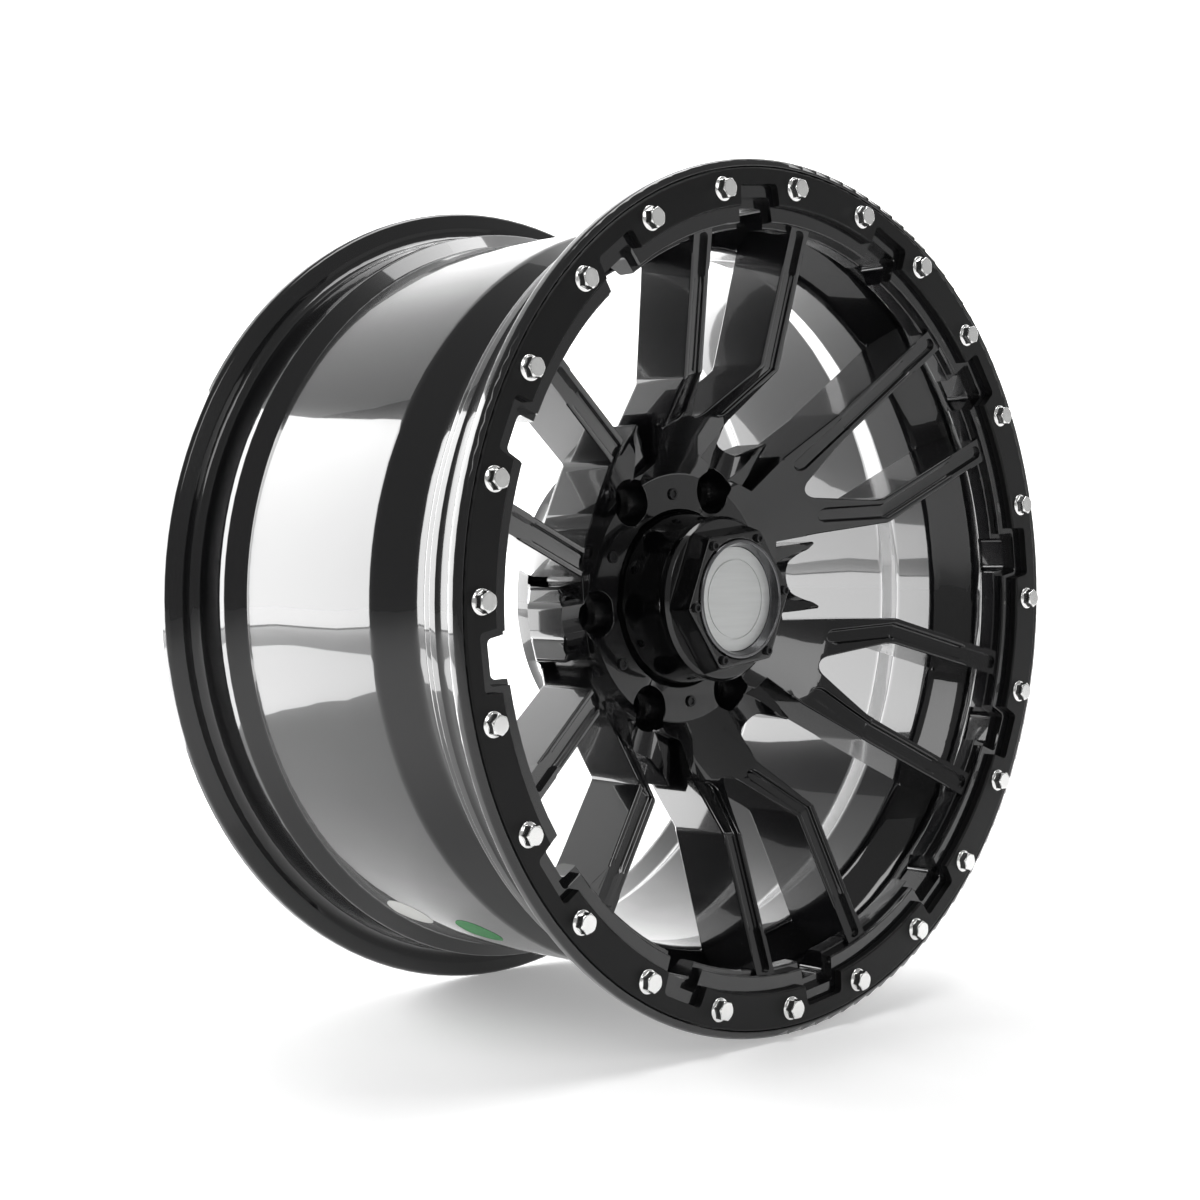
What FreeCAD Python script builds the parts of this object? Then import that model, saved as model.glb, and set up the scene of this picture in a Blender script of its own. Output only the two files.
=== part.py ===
import FreeCAD, Part
import Sketcher
import math
import os

# Deep-dish off-road alloy wheel, 18 inch by 9.5 inch, six-stud, zero offset.
# The wheel spins about Y, the street side faces -Y and the mounting face lies on Y = 0.
# Plan views are drawn with a spoke along X and turned to the photographed pose afterwards.

doc = FreeCAD.newDocument("AlloyWheel")
sheet = doc.addObject("Spreadsheet::Sheet", "Sizes")

SIZES = {
    # pose
    "spoke_phase": 97.2,
    "spoke_count": 6,
    # rim section
    "rear_flange_r": 248.3,
    "flange_outer_y": 131.2,
    "bead_flange_y": 120.65,
    "flange_back_y": 123.6,
    "flange_face_r": 239.0,
    "bead_seat_r": 231.0,
    "bead_end_r": 229.2,
    "bead_end_y": 100.0,
    "hump_r": 230.6,
    "hump_far_y": 96.0,
    "hump_near_y": 91.0,
    "shoulder_r": 228.2,
    "shoulder_start_y": 88.5,
    "shoulder_end_y": 83.5,
    "well_r": 208.5,
    "well_front_y": 74.0,
    "well_rear_y": 53.0,
    "barrel_front_r": 220.5,
    "barrel_front_y": -31.0,
    "barrel_rear_r": 222.0,
    "barrel_rear_y": 82.0,
    "barrel_wall": 7.0,
    "rear_lip_r": 238.0,
    "rear_under_seat_r": 222.4,
    "front_under_seat_r": 219.0,
    "front_neck_y": 106.0,
    "front_web_y": 97.5,
    # front land and the inner lip below it
    "land_y": 127.3,
    "land_inner_r": 211.5,
    "lip_inner_r": 208.5,
    "lip_step": 5.0,
    "lip_back_y": 112.0,
    "lip_clear": 0.3,
    "lip_width": 4.7,
    # notches shared by the ring and the casting
    "notch_count": 12,
    "ring_notch_r": 232.0,
    "ring_notch_half": 15.0,
    "ring_notch_round": 3.0,
    "land_notch_r": 225.0,
    "land_notch_half": 12.5,
    "lip_notch_r": 219.5,
    "lip_notch_half": 10.0,
    # trim ring
    "ring_inner_r": 220.4,
    "ring_outer_r": 241.2,
    "ring_thick": 4.5,
    "ring_edge": 1.2,
    # ring bolts
    "bolt_count": 24,
    "bolt_circle_r": 230.8,
    "bolt_offset": 7.5,
    "bolt_flange_r": 6.7,
    "bolt_flange_h": 1.6,
    "bolt_flats": 10.0,
    "bolt_head_h": 4.4,
    "bolt_shank_r": 2.9,
    "bolt_bite": 4.6,
    "bolt_ring_clear": 0.4,
    "bolt_thread_clear": 0.1,
    # arms: plan view, angles counted from the middle of the spoke
    "arm_base_r": 84.5,
    "arm_base_deg": 13.2,
    "kink_outer_r": 135.9,
    "kink_outer_deg": 17.3,
    "kink_inner_r": 134.2,
    "kink_inner_deg": 10.6,
    "kink_round": 12.0,
    "arm_end_r": 222.0,
    "arm_end_outer_deg": 12.6,
    "arm_end_inner_deg": 8.9,
    "fork_r": 102.5,
    "fork_round": 8.0,
    # arms: side view
    "hub_face_y": 45.2,
    "root_r": 74.0,
    "slope_r": 106.1,
    "slope_y": 69.3,
    "kink_r": 134.9,
    "kink_y": 101.0,
    "arm_tip_r": 214.2,
    "arm_tip_y": 125.6,
    "arm_buried_y": 119.0,
    "arm_back_tip_y": 88.0,
    "arm_back_kink_y": 62.0,
    "arm_back_root_r": 98.0,
    "arm_back_root_y": 20.0,
    # channels along the arm fronts
    "channel_depth": 3.0,
    "channel_half": 4.2,
    "channel_start_r": 108.0,
    "channel_start_deg": 9.2,
    "channel_end_r": 210.5,
    "channel_round": 3.4,
    # hub disc with its paired horns
    "pad_r": 92.0,
    "web_back_y": 10.0,
    "horn_base_deg": 15.8,
    "horn_tip_r": 114.5,
    "horn_tip_deg": 19.3,
    "horn_tip_y": 60.0,
    "horn_tip_round": 1.2,
    "horn_back_y": 38.0,
    "scoop_r": 97.5,
    "scoop_deg": 24.5,
    "scoop_round": 8.0,
    "trough_r": 17.0,
    "trough_y": 61.0,
    # lug seats
    "lug_count": 6,
    "lug_circle_r": 69.85,
    "lug_hole_r": 7.6,
    "lug_seat_r": 10.8,
    "lug_pocket_r": 13.5,
    "lug_pocket_y": 26.0,
    "lug_seat_y": 20.5,
    # bore
    "bore_r": 53.05,
    "bore_lip_r": 51.0,
    "bore_front_r": 55.0,
    "bore_lip_y": 36.0,
    "bore_chamfer": 3.0,
    # relief pockets in the back of the pad
    "relief_inner_r": 63.0,
    "relief_outer_r": 86.0,
    "relief_half": 10.5,
    "relief_depth": 9.0,
    "relief_round": 4.0,
    # valve hole
    "valve_r": 5.65,
    "valve_point_r": 214.3,
    "valve_point_y": 84.0,
    "valve_tilt": 52.0,
    "valve_length": 60.0,
    # hub accent screws
    "hub_screw_circle_r": 62.2,
    "hub_screw_head_r": 3.4,
    "hub_screw_head_h": 1.4,
    "hub_screw_shank_r": 2.0,
    "hub_screw_length": 9.0,
    "hub_screw_socket_r": 1.9,
    "hub_screw_socket_h": 1.0,
    "screw_clear": 0.1,
    "screw_floor": 0.4,
    # cap
    "cap_clear": 0.3,
    "cap_flange_h": 3.0,
    "cap_flange_clear": 0.3,
    "cap_wall": 2.6,
    "cap_straight_y": 47.0,
    "cap_neck_r": 46.4,
    "cap_neck_y": 72.0,
    "cap_bead_r": 48.3,
    "cap_bead_y": 74.0,
    "cap_deck_y": 80.0,
    "cap_deck_thick": 4.0,
    "cap_boss_step": 0.5,
    "cap_boss_h": 5.0,
    "crown_h": 12.4,
    "crown_foot_r": 47.4,
    "crown_top_r": 43.4,
    "crown_round": 2.5,
    "bezel_outer_r": 34.6,
    "bezel_proud": 1.4,
    "bezel_gap": 0.3,
    "disc_r": 30.3,
    "disc_h": 3.0,
    "disc_groove_r": 22.6,
    "disc_groove_w": 0.7,
    "disc_groove_h": 0.5,
    "cap_screw_circle_r": 38.2,
    "cap_screw_head_r": 2.7,
    "cap_screw_head_h": 2.2,
    "cap_screw_shank_r": 1.4,
    "cap_screw_bite": 2.6,
    "cap_screw_socket_r": 1.5,
    "cap_screw_socket_h": 1.3,
    # retaining clip behind the cap
    "clip_wire_r": 1.1,
    "clip_ring_r": 53.4,
    "clip_groove_clear": 0.1,
    "clip_sweep": 326.0,
}

for row, (alias, number) in enumerate(SIZES.items(), start=1):
    sheet.set("A%d" % row, alias)
    sheet.set("B%d" % row, repr(number))
    sheet.setAlias("B%d" % row, alias)
doc.recompute()


class Size:
    """A number together with the sheet expression that gives it."""

    def __init__(self, value, text):
        self.value = float(value)
        self.text = text

    @staticmethod
    def of(other):
        if isinstance(other, Size):
            return other
        return Size(other, repr(other))

    def __add__(self, other):
        other = Size.of(other)
        return Size(self.value + other.value, "(%s + %s)" % (self.text, other.text))

    def __sub__(self, other):
        other = Size.of(other)
        return Size(self.value - other.value, "(%s - %s)" % (self.text, other.text))

    def __mul__(self, other):
        other = Size.of(other)
        return Size(self.value * other.value, "(%s * %s)" % (self.text, other.text))

    def __truediv__(self, other):
        other = Size.of(other)
        return Size(self.value / other.value, "(%s / %s)" % (self.text, other.text))

    def __neg__(self):
        return Size(-self.value, "(-1 * %s)" % self.text)


def size(alias):
    return Size(SIZES[alias], "Sizes.%s" % alias)


def cosine(angle):
    return Size(math.cos(math.radians(angle.value)), "cos(%s)" % angle.text)


def sine(angle):
    return Size(math.sin(math.radians(angle.value)), "sin(%s)" % angle.text)


ZERO = Size(0, "0")


def polar(radius, angle):
    """Plan point at a radius and an angle from the middle of the spoke."""
    return radius * cosine(angle), radius * sine(angle)


def mirrored(corners):
    """The same corners on the other side of the X axis, walked backwards."""
    return [(x, -y, r) for x, y, r in reversed(corners)]


def bind(obj, prop, amount):
    obj.setExpression(prop, Size.of(amount).text)


def turn(obj, extra=None):
    """Turn a plan drawing about Y into the photographed pose, and on by an extra angle."""
    angle = size("spoke_phase") if extra is None else size("spoke_phase") + extra
    axis = FreeCAD.Vector(0, -1, 0)
    obj.Placement = FreeCAD.Placement(FreeCAD.Vector(), FreeCAD.Rotation(axis, angle.value))
    obj.setExpression("Placement.Rotation.Angle", "%s * 1 deg" % angle.text)


def new_body(name):
    body = doc.addObject("PartDesign::Body", name)
    body.AllowCompound = True
    return body


def origin(body, role):
    return next(item for item in body.Origin.OriginFeatures if item.Role == role)


def new_sketch(body, name, role):
    sketch = body.newObject("Sketcher::SketchObject", name)
    sketch.AttachmentSupport = [(origin(body, role), "")]
    sketch.MapMode = "FlatFace"
    return sketch


def pin_point(sketch, geo, pos, x, y, tag):
    """Hold a sketch point at two bound coordinates."""
    for kind, amount, axis in (("DistanceX", x, -2), ("DistanceY", y, -1)):
        if abs(amount.value) < 1e-9:
            sketch.addConstraint(Sketcher.Constraint("PointOnObject", geo, pos, axis))
            continue
        index = sketch.addConstraint(Sketcher.Constraint(kind, -1, 1, geo, pos, amount.value))
        name = "%s_%s" % (tag, kind[-1].lower())
        sketch.renameConstraint(index, name)
        sketch.setExpression("Constraints.%s" % name, amount.text)


def draw_outline(sketch, corners, tag="p"):
    """Closed outline through corners of (x, y, rounding or None)."""
    points = [FreeCAD.Vector(x.value, y.value, 0) for x, y, _ in corners]
    count = len(points)
    starts, ends, arcs = [], [], {}
    for i, (_, _, rounding) in enumerate(corners):
        here, before, after = points[i], points[i - 1], points[(i + 1) % count]
        if rounding is None:
            ends.append(here)
            starts.append(here)
            continue
        back = (before - here).normalize()
        ahead = (after - here).normalize()
        half = back.getAngle(ahead) / 2
        reach = rounding.value / math.tan(half)
        enter, leave = here + back * reach, here + ahead * reach
        middle = here + (back + ahead).normalize() * (rounding.value / math.sin(half))
        first = math.atan2(enter.y - middle.y, enter.x - middle.x)
        last = math.atan2(leave.y - middle.y, leave.x - middle.x)
        left_turn = back.cross(ahead).z < 0
        arcs[i] = (middle, rounding, first, last, left_turn)
        ends.append(enter)
        starts.append(leave)
    lines = []
    for i in range(count):
        segment = Part.LineSegment(starts[i], ends[(i + 1) % count])
        lines.append(sketch.addGeometry(segment, False))
    for i, (x, y, _) in enumerate(corners):
        before = lines[i - 1]
        after = lines[i]
        name = "%s%d" % (tag, i)
        if i not in arcs:
            sketch.addConstraint(Sketcher.Constraint("Coincident", before, 2, after, 1))
            pin_point(sketch, after, 1, x, y, name)
            continue
        middle, rounding, first, last, left_turn = arcs[i]
        circle = Part.Circle(middle, FreeCAD.Vector(0, 0, 1), rounding.value)
        if left_turn:
            arc = sketch.addGeometry(Part.ArcOfCircle(circle, first, last), False)
            near, far = 1, 2
        else:
            arc = sketch.addGeometry(Part.ArcOfCircle(circle, last, first), False)
            near, far = 2, 1
        point = sketch.addGeometry(Part.Point(points[i]), True)
        sketch.addConstraint(Sketcher.Constraint("Tangent", before, 2, arc, near))
        sketch.addConstraint(Sketcher.Constraint("Tangent", arc, far, after, 1))
        sketch.addConstraint(Sketcher.Constraint("PointOnObject", point, 1, before))
        sketch.addConstraint(Sketcher.Constraint("PointOnObject", point, 1, after))
        index = sketch.addConstraint(Sketcher.Constraint("Radius", arc, rounding.value))
        sketch.renameConstraint(index, name + "_r")
        sketch.setExpression("Constraints.%s_r" % name, rounding.text)
        pin_point(sketch, point, 1, x, y, name)


def draw_circle(sketch, x, y, radius, tag="c"):
    circle = Part.Circle(FreeCAD.Vector(x.value, y.value, 0), FreeCAD.Vector(0, 0, 1), radius.value)
    geo = sketch.addGeometry(circle, False)
    index = sketch.addConstraint(Sketcher.Constraint("Radius", geo, radius.value))
    sketch.renameConstraint(index, tag + "_r")
    sketch.setExpression("Constraints.%s_r" % tag, radius.text)
    pin_point(sketch, geo, 3, x, y, tag)


def draw_axis(sketch, x, low, high):
    """Construction line along Y that a profile is turned about."""
    line = Part.LineSegment(FreeCAD.Vector(x.value, low.value, 0), FreeCAD.Vector(x.value, high.value, 0))
    geo = sketch.addGeometry(line, True)
    pin_point(sketch, geo, 1, x, low, "axis_low")
    pin_point(sketch, geo, 2, x, high, "axis_high")


def plain(points):
    return [(x, y, None) for x, y in points]


def revolve(body, name, corners, axis_x=None, groove=False, sweep=None):
    """Turn a section drawn in the XY plane about Y, or about a line along Y at axis_x."""
    sketch = new_sketch(body, name + "_section", "XY_Plane")
    if axis_x is not None:
        ys = sorted((y for _, y, _ in corners), key=lambda item: item.value)
        draw_axis(sketch, axis_x, ys[0], ys[-1])
    draw_outline(sketch, corners)
    kind = "PartDesign::Groove" if groove else "PartDesign::Revolution"
    feature = body.newObject(kind, name)
    feature.Profile = sketch
    feature.ReferenceAxis = (sketch, ["V_Axis"] if axis_x is None else ["Axis0"])
    feature.Angle = 360
    if sweep is not None:
        bind(feature, "Angle", sweep)
    sketch.Visibility = False
    return feature


def pad(body, name, outlines, length, start=ZERO):
    """Pad plan outlines towards -Y, from a start plane at -start."""
    sketch = new_sketch(body, name + "_plan", "XZ_Plane")
    if start.value:
        sketch.AttachmentOffset = FreeCAD.Placement(FreeCAD.Vector(0, 0, start.value), FreeCAD.Rotation())
        sketch.setExpression("AttachmentOffset.Base.z", start.text)
    for number, corners in enumerate(outlines):
        draw_outline(sketch, corners, "o%d_" % number)
    feature = body.newObject("PartDesign::Pad", name)
    feature.Profile = sketch
    bind(feature, "Length", length)
    sketch.Visibility = False
    return feature


def pattern(body, name, originals, count):
    feature = body.newObject("PartDesign::PolarPattern", name)
    feature.Originals = originals
    feature.Axis = (origin(body, "Y_Axis"), [""])
    feature.Angle = 360
    feature.Occurrences = int(count.value)
    bind(feature, "Occurrences", count)
    body.Tip = feature
    return feature


def boolean(kind, name, base, tool):
    feature = doc.addObject("Part::" + kind, name)
    feature.Base = base
    feature.Tool = tool
    return feature


def fuse(name, shapes):
    feature = doc.addObject("Part::MultiFuse", name)
    feature.Shapes = shapes
    feature.Refine = True
    return feature


# Rim: drop-centre barrel with flanges, bead seats, safety humps, well and front land

flange_y = size("flange_outer_y")
bead_y = size("bead_flange_y")
land_y = size("land_y")
wall = size("barrel_wall")
lip_pocket_r = size("ring_outer_r") + size("lip_clear")
front_flange_r = lip_pocket_r + size("lip_width")
lip_low_y = land_y - size("lip_step")
small_round = Size.of(2.0)
flange_round = Size.of(3.0)
seat_round = Size.of(6.0)
bend_round = Size.of(10.0)

rim_section = [
    (lip_pocket_r, -flange_y, small_round / 2),
    (front_flange_r, -flange_y, flange_round),
    (front_flange_r, -size("flange_back_y"), flange_round),
    (size("flange_face_r"), -bead_y, flange_round),
    (size("bead_seat_r"), -bead_y, seat_round),
    (size("bead_end_r"), -size("bead_end_y"), None),
    (size("hump_r"), -size("hump_far_y"), small_round),
    (size("hump_r"), -size("hump_near_y"), small_round),
    (size("shoulder_r"), -size("shoulder_start_y"), None),
    (size("shoulder_r"), -size("shoulder_end_y"), flange_round),
    (size("well_r"), -size("well_front_y"), bend_round),
    (size("well_r"), -size("well_rear_y"), bend_round),
    (size("barrel_front_r"), size("barrel_front_y"), bend_round),
    (size("barrel_rear_r"), size("barrel_rear_y"), flange_round),
    (size("hump_r"), size("hump_near_y"), small_round),
    (size("hump_r"), size("hump_far_y"), small_round),
    (size("bead_end_r"), size("bead_end_y"), None),
    (size("bead_seat_r"), bead_y, seat_round),
    (size("flange_face_r"), bead_y, flange_round),
    (size("rear_flange_r"), size("flange_back_y"), flange_round),
    (size("rear_flange_r"), flange_y, flange_round),
    (size("rear_lip_r"), flange_y, flange_round),
    (size("rear_under_seat_r"), size("bead_end_y") + wall * 2, bend_round),
    (size("rear_under_seat_r"), size("hump_near_y"), bend_round),
    (size("barrel_rear_r") - wall, size("barrel_rear_y") - wall / 2, bend_round),
    (size("barrel_front_r") - wall, size("barrel_front_y") + wall / 3, bend_round),
    (size("well_r") - wall, -size("well_rear_y") + wall / 3, bend_round),
    (size("well_r") - wall, -size("well_front_y") - wall, bend_round),
    (size("front_under_seat_r"), -size("front_web_y"), bend_round),
    (size("front_under_seat_r"), -size("front_neck_y"), flange_round),
    (size("lip_inner_r"), -size("lip_back_y"), small_round),
    (size("lip_inner_r"), -lip_low_y, small_round / 2),
    (size("land_inner_r"), -lip_low_y, None),
    (size("land_inner_r"), -land_y, small_round / 2),
    (lip_pocket_r, -land_y, None),
]
rim = new_body("rim_turning")
revolve(rim, "rim_turn", rim_section)

# Spokes: a disc cut to six forked arms, then trimmed between two turned surfaces

arm_base = polar(size("arm_base_r"), size("arm_base_deg"))
kink_outer = polar(size("kink_outer_r"), size("kink_outer_deg"))
kink_inner = polar(size("kink_inner_r"), size("kink_inner_deg"))
open_r = size("arm_end_r") + 8
end_outer = polar(open_r, size("arm_end_outer_deg"))
end_inner = polar(open_r, size("arm_end_inner_deg"))
plan_depth = flange_y + 10
sector = Size.of(360.0) / size("spoke_count")
half_sector = sector / 2

spoke_plan = new_body("spoke_plan")
disc_sketch = new_sketch(spoke_plan, "spoke_disc_plan", "XZ_Plane")
draw_circle(disc_sketch, ZERO, ZERO, size("arm_end_r"), "outer")
draw_circle(disc_sketch, ZERO, ZERO, size("bore_r"), "inner")
spoke_disc = spoke_plan.newObject("PartDesign::Pad", "spoke_disc")
spoke_disc.Profile = disc_sketch
bind(spoke_disc, "Length", plan_depth)
disc_sketch.Visibility = False

fork_window = [
    (size("fork_r"), ZERO, size("fork_round")),
    (kink_inner[0], -kink_inner[1], size("kink_round")),
    (end_inner[0], -end_inner[1], None),
    (end_inner[0], end_inner[1], None),
    (kink_inner[0], kink_inner[1], size("kink_round")),
]


def between(point):
    """The same plan point measured back from the next spoke round."""
    x, y = point
    turn_cos, turn_sin = cosine(sector), sine(sector)
    return x * turn_cos + y * turn_sin, x * turn_sin - y * turn_cos


gap_far = polar(open_r + 30, size("arm_end_outer_deg") + 4)
gap_near = [(arm_base, None), (kink_outer, size("kink_round")), (end_outer, None), (gap_far, None)]
gap_window = [(p[0], p[1], r) for p, r in gap_near]
gap_window += [between(p) + (r,) for p, r in reversed(gap_near)]


def pocket(body, name, corners):
    sketch = new_sketch(body, name + "_plan", "XZ_Plane")
    draw_outline(sketch, corners)
    feature = body.newObject("PartDesign::Pocket", name)
    feature.Profile = sketch
    feature.Reversed = True
    feature.Type = "ThroughAll"
    sketch.Visibility = False
    return feature


fork_cut = pocket(spoke_plan, "fork_cut", fork_window)
pattern(spoke_plan, "fork_cuts", [fork_cut], size("spoke_count"))
gap_cut = pocket(spoke_plan, "gap_cut", gap_window)
pattern(spoke_plan, "gap_cuts", [gap_cut], size("spoke_count"))
turn(spoke_plan)

spoke_front = [
    (size("root_r"), -size("hub_face_y")),
    (size("slope_r"), -size("slope_y")),
    (size("kink_r"), -size("kink_y")),
    (size("arm_tip_r"), -size("arm_tip_y")),
]
spoke_band_section = plain(
    [(size("bore_lip_r"), -size("web_back_y")), (size("bore_lip_r"), -size("hub_face_y"))]
    + spoke_front
    + [
        (size("arm_tip_r"), -size("arm_buried_y")),
        (size("arm_end_r"), -size("arm_buried_y")),
        (size("arm_end_r"), -size("arm_back_tip_y")),
        (size("kink_r"), -size("arm_back_kink_y")),
        (size("arm_back_root_r"), -size("arm_back_root_y")),
        (size("pad_r"), -size("web_back_y")),
    ]
)
spoke_band = new_body("spoke_band")
revolve(spoke_band, "spoke_band_turn", spoke_band_section)
spokes = boolean("Common", "spokes", spoke_plan, spoke_band)

# Channels sunk along the front of each arm

channel_half = size("channel_half")
channel_round = size("channel_round")
channel_mid_r = (size("kink_outer_r") + size("kink_inner_r")) / 2
channel_mid_deg = (size("kink_outer_deg") + size("kink_inner_deg")) / 2
channel_end_deg = (size("arm_end_outer_deg") + size("arm_end_inner_deg")) / 2 + 0.35


def beside(radius, angle, across):
    """Plan point moved sideways from a point on the arm's middle line."""
    x, y = polar(radius, angle)
    return x - across * sine(angle), y + across * cosine(angle)


channel_out = [
    beside(size("channel_start_r"), size("channel_start_deg"), channel_half),
    beside(channel_mid_r, channel_mid_deg, channel_half),
    beside(size("channel_end_r"), channel_end_deg, channel_half),
]
channel_in = [
    beside(size("channel_start_r"), size("channel_start_deg"), -channel_half),
    beside(channel_mid_r, channel_mid_deg, -channel_half),
    beside(size("channel_end_r"), channel_end_deg, -channel_half),
]
channel_loop = [
    channel_in[0] + (channel_round,),
    channel_in[1] + (None,),
    channel_in[2] + (channel_round,),
    channel_out[2] + (channel_round,),
    channel_out[1] + (None,),
    channel_out[0] + (channel_round,),
]
channel_plan = new_body("channel_plan")
channel_pad = pad(channel_plan, "channel_pad", [channel_loop, mirrored(channel_loop)], plan_depth)
pattern(channel_plan, "channel_pads", [channel_pad], size("spoke_count"))
turn(channel_plan)
sink = size("channel_depth")
channel_band = new_body("channel_band")
channel_roof = [(r, y - 12) for r, y in spoke_front]
channel_floor = [(r, y + sink) for r, y in spoke_front]
revolve(channel_band, "channel_band_turn", plain(channel_roof + channel_floor[::-1]))
channels = boolean("Common", "channels", channel_plan, channel_band)

# Hub disc: paired horns between the spokes, with a scoop from each lug seat

horn_base = polar(size("arm_base_r"), size("horn_base_deg"))
horn_tip = polar(size("horn_tip_r"), size("horn_tip_deg"))
scoop = polar(size("scoop_r"), size("scoop_deg"))
hub_core = polar(size("root_r") - 8, size("arm_base_deg") - 6)
hub_shelf = polar(size("arm_base_r"), size("arm_base_deg") - 1)
horn_near = [
    (hub_core, None),
    (hub_shelf, None),
    (horn_base, None),
    (horn_tip, size("horn_tip_round")),
    (scoop, size("scoop_round")),
]
horn_outline = [(p[0], p[1], r) for p, r in horn_near]
horn_outline += [between(p) + (r,) for p, r in reversed(horn_near)]
hub_plan = new_body("hub_plan")
hub_sketch = new_sketch(hub_plan, "hub_disc_plan", "XZ_Plane")
draw_circle(hub_sketch, ZERO, ZERO, size("root_r") + 6, "outer")
draw_circle(hub_sketch, ZERO, ZERO, size("bore_r"), "inner")
hub_disc = hub_plan.newObject("PartDesign::Pad", "hub_disc")
hub_disc.Profile = hub_sketch
bind(hub_disc, "Length", plan_depth)
hub_sketch.Visibility = False
horn_pad = pad(hub_plan, "horn_pad", [horn_outline], plan_depth)
pattern(hub_plan, "horn_pads", [horn_pad], size("spoke_count"))
turn(hub_plan)
hub_band = new_body("hub_band")
hub_band_section = plain([
    (size("bore_lip_r"), -size("web_back_y")),
    (size("bore_lip_r"), -size("hub_face_y")),
    (size("root_r") + 5, -size("hub_face_y")),
    (size("horn_tip_r") + 1, -size("horn_tip_y")),
    (size("horn_tip_r") + 1, -size("horn_back_y")),
    (size("pad_r"), -size("web_back_y")),
])
revolve(hub_band, "hub_band_turn", hub_band_section)
hub = boolean("Common", "hub", hub_plan, hub_band)

pad_ring = new_body("pad_ring")
bore_r = size("bore_r")
lip_r = size("bore_lip_r")
bore_front_y = size("hub_face_y")
revolve(pad_ring, "pad_ring_turn", [
    (bore_r, ZERO, Size.of(1.5)),
    (bore_r, -size("bore_lip_y"), None),
    (lip_r, -size("bore_lip_y"), None),
    (lip_r, -(bore_front_y - size("bore_chamfer")), None),
    (size("bore_front_r"), -bore_front_y, None),
    (size("bore_front_r") + 4, -bore_front_y, None),
    (size("bore_front_r") + 4, -size("web_back_y"), None),
    (size("pad_r"), -size("web_back_y"), None),
    (size("pad_r"), ZERO, small_round),
])

casting = fuse("casting", [rim, spokes, hub, pad_ring])

# Cuts made in the casting

lug_axis = size("lug_circle_r")
lug_cut = new_body("lug_cut")
lug_top_y = size("slope_y") + 30
lug_profile = plain([
    (lug_axis, size("web_back_y")),
    (lug_axis + size("lug_hole_r"), size("web_back_y")),
    (lug_axis + size("lug_hole_r"), -size("lug_seat_y")),
    (lug_axis + size("lug_seat_r"), -size("lug_pocket_y")),
    (lug_axis + size("lug_pocket_r"), -size("lug_pocket_y")),
    (lug_axis + size("lug_pocket_r"), -lug_top_y),
    (lug_axis, -lug_top_y),
])
lug_bore = revolve(lug_cut, "lug_bore", lug_profile, axis_x=lug_axis)
pattern(lug_cut, "lug_bores", [lug_bore], size("lug_count"))
turn(lug_cut, half_sector)

trough_plan = new_body("trough_cut")
trough_sketch = new_sketch(trough_plan, "trough_section", "YZ_Plane")
draw_circle(trough_sketch, -size("trough_y"), ZERO, size("trough_r"), "trough")
trough_pad = trough_plan.newObject("PartDesign::Pad", "trough_pad")
trough_pad.Profile = trough_sketch
bind(trough_pad, "Length", size("horn_tip_r") + 20)
trough_sketch.Visibility = False
pattern(trough_plan, "trough_pads", [trough_pad], size("lug_count"))
turn(trough_plan, half_sector)

bolt_axis = size("bolt_circle_r")
bolt_hole_r = size("bolt_shank_r") + size("bolt_thread_clear")
bolt_cut = new_body("bolt_cut")
bolt_hole = revolve(bolt_cut, "bolt_hole", plain([
    (bolt_axis, -land_y - 2),
    (bolt_axis + bolt_hole_r, -land_y - 2),
    (bolt_axis + bolt_hole_r, -(land_y - (size("bolt_bite") + size("screw_floor")))),
    (bolt_axis, -(land_y - (size("bolt_bite") + size("screw_floor")))),
]), axis_x=bolt_axis)
pattern(bolt_cut, "bolt_holes", [bolt_hole], size("bolt_count"))
turn(bolt_cut, size("bolt_offset"))


def notch_outline(bottom_r, half, rounding, mouth_r):
    return [
        (mouth_r, -half - 2, None),
        (bottom_r, -half, rounding),
        (bottom_r, half, rounding),
        (mouth_r, half + 2, None),
    ]


land_notch = new_body("land_notch")
notch_mouth = size("lip_inner_r") - 12
land_cut = pad(
    land_notch, "land_cut",
    [notch_outline(size("land_notch_r"), size("land_notch_half"), size("ring_notch_round"), notch_mouth)],
    size("lip_step") + 8, lip_low_y,
)
pattern(land_notch, "land_cuts", [land_cut], size("notch_count"))
turn(land_notch)
lip_notch = new_body("lip_notch")
lip_cut = pad(
    lip_notch, "lip_cut",
    [notch_outline(size("lip_notch_r"), size("lip_notch_half"), size("ring_notch_round"), notch_mouth)],
    size("lip_step") * 2 + 16, size("lip_back_y") - 6,
)
pattern(lip_notch, "lip_cuts", [lip_cut], size("notch_count"))
turn(lip_notch)

relief = new_body("relief_cut")
relief_plan = [
    (size("relief_inner_r"), -size("relief_half"), size("relief_round")),
    (size("relief_outer_r"), -size("relief_half") - 3, size("relief_round")),
    (size("relief_outer_r"), size("relief_half") + 3, size("relief_round")),
    (size("relief_inner_r"), size("relief_half"), size("relief_round")),
]
relief_pad = pad(relief, "relief_pad", [relief_plan], size("relief_depth"))
pattern(relief, "relief_pads", [relief_pad], size("spoke_count"))
turn(relief)

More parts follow.
